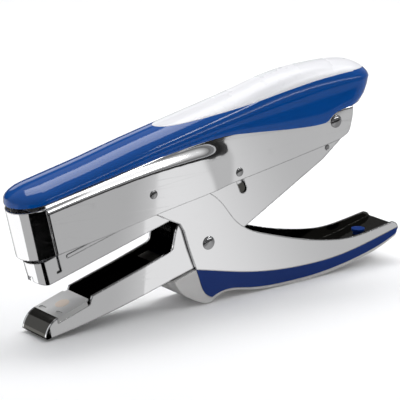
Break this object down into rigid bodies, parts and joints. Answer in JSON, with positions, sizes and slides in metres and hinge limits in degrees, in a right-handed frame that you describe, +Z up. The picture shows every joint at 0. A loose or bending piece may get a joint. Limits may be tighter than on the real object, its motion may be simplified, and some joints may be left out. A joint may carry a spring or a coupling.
{
  "type": "plier stapler",
  "caption": "Hand-held plier stapler: chromed lever housing with moulded cover, sprung squeeze handle, channel magazine and riveted anvil arm.",
  "frame": {"origin": "bottom centre of the whole stapler, on the surface it stands on", "axes": "+X towards the handle's tail, the nose and anvil towards -X, +Y to the far side, +Z up"},
  "size_m": [0.2084, 0.025, 0.0989],
  "materials": {
    "chrome": "polished chrome plate on pressed steel sheet",
    "rivet_steel": "polished rivet heads",
    "anvil_nickel": "satin nickel plate",
    "rivet_copper": "dull copper tint",
    "plain_steel": "zinc plated steel",
    "spring_steel": "drawn spring wire",
    "staple_zinc": "zinc plated staple wire, glued in a strip",
    "cover_blue": "glossy moulded plastic",
    "cover_white": "glossy white moulded plastic",
    "grip_blue": "satin moulded plastic",
    "grip_grey": "satin grey plastic"
  },
  "bodies": {
    "frame": {"main_frame": "chrome", "anvil_plate": "anvil_nickel", "anvil_bridge": "anvil_nickel", "anvil_rivet": "rivet_copper", "main_pivot_pin": "rivet_steel", "pivot_spacer": "plain_steel", "tail_rivet": "rivet_steel", "frame_pin": "rivet_steel"},
    "handle": {"handle_channel": "chrome", "grip_inlay": "grip_blue", "grip_base": "grip_grey", "handle_spring": "spring_steel"},
    "lever": {"housing": "chrome", "nose_cap": "chrome", "top_cover": "cover_blue", "cover_insert": "cover_white", "link_studs": "rivet_steel", "guide_studs": "rivet_steel", "driver_blade": "plain_steel", "driver_block": "plain_steel", "driver_rivets": "rivet_steel", "lever_spring": "spring_steel"},
    "magazine": {"magazine_channel": "chrome", "staple_rail": "plain_steel", "staple_strip": "staple_zinc", "magazine_block": "plain_steel", "magazine_bush": "plain_steel", "pusher_rod": "plain_steel", "pusher_spring": "spring_steel"},
    "pusher": {"pusher": "plain_steel"}
  },
  "joints": [
    {"name": "handle_squeeze", "type": "hinge", "parent": "frame", "child": "handle", "pos_m": [-0.0072, 0, 0.0284], "axis": [0, -1, 0], "range_deg": [0, 26], "stiffness_Nm_per_rad": 1.2, "springref_deg": -20.05, "deforming": ["handle_spring"]},
    {"name": "lever_hinge", "type": "hinge", "parent": "frame", "child": "lever", "pos_m": [0.0653, 0, 0.0723], "axis": [0, -1, 0], "range_deg": [0, 9.15], "deforming": ["lever_spring"]},
    {"name": "magazine_hinge", "type": "hinge", "parent": "frame", "child": "magazine", "pos_m": [0.0653, 0, 0.0723], "axis": [0, -1, 0], "range_deg": [0, 5.12]},
    {"name": "pusher_slide", "type": "slide", "parent": "magazine", "child": "pusher", "axis": [0.9664, 0, 0.2571], "range_m": [0, 0.037], "stiffness_N_per_m": 30, "springref_m": -0.04, "deforming": ["pusher_spring"]}
  ],
  "couplings": [
    {"joint": "lever_hinge", "follows": "handle_squeeze", "ratio": 0.35},
    {"joint": "magazine_hinge", "follows": "handle_squeeze", "ratio": 0.195}
  ]
}
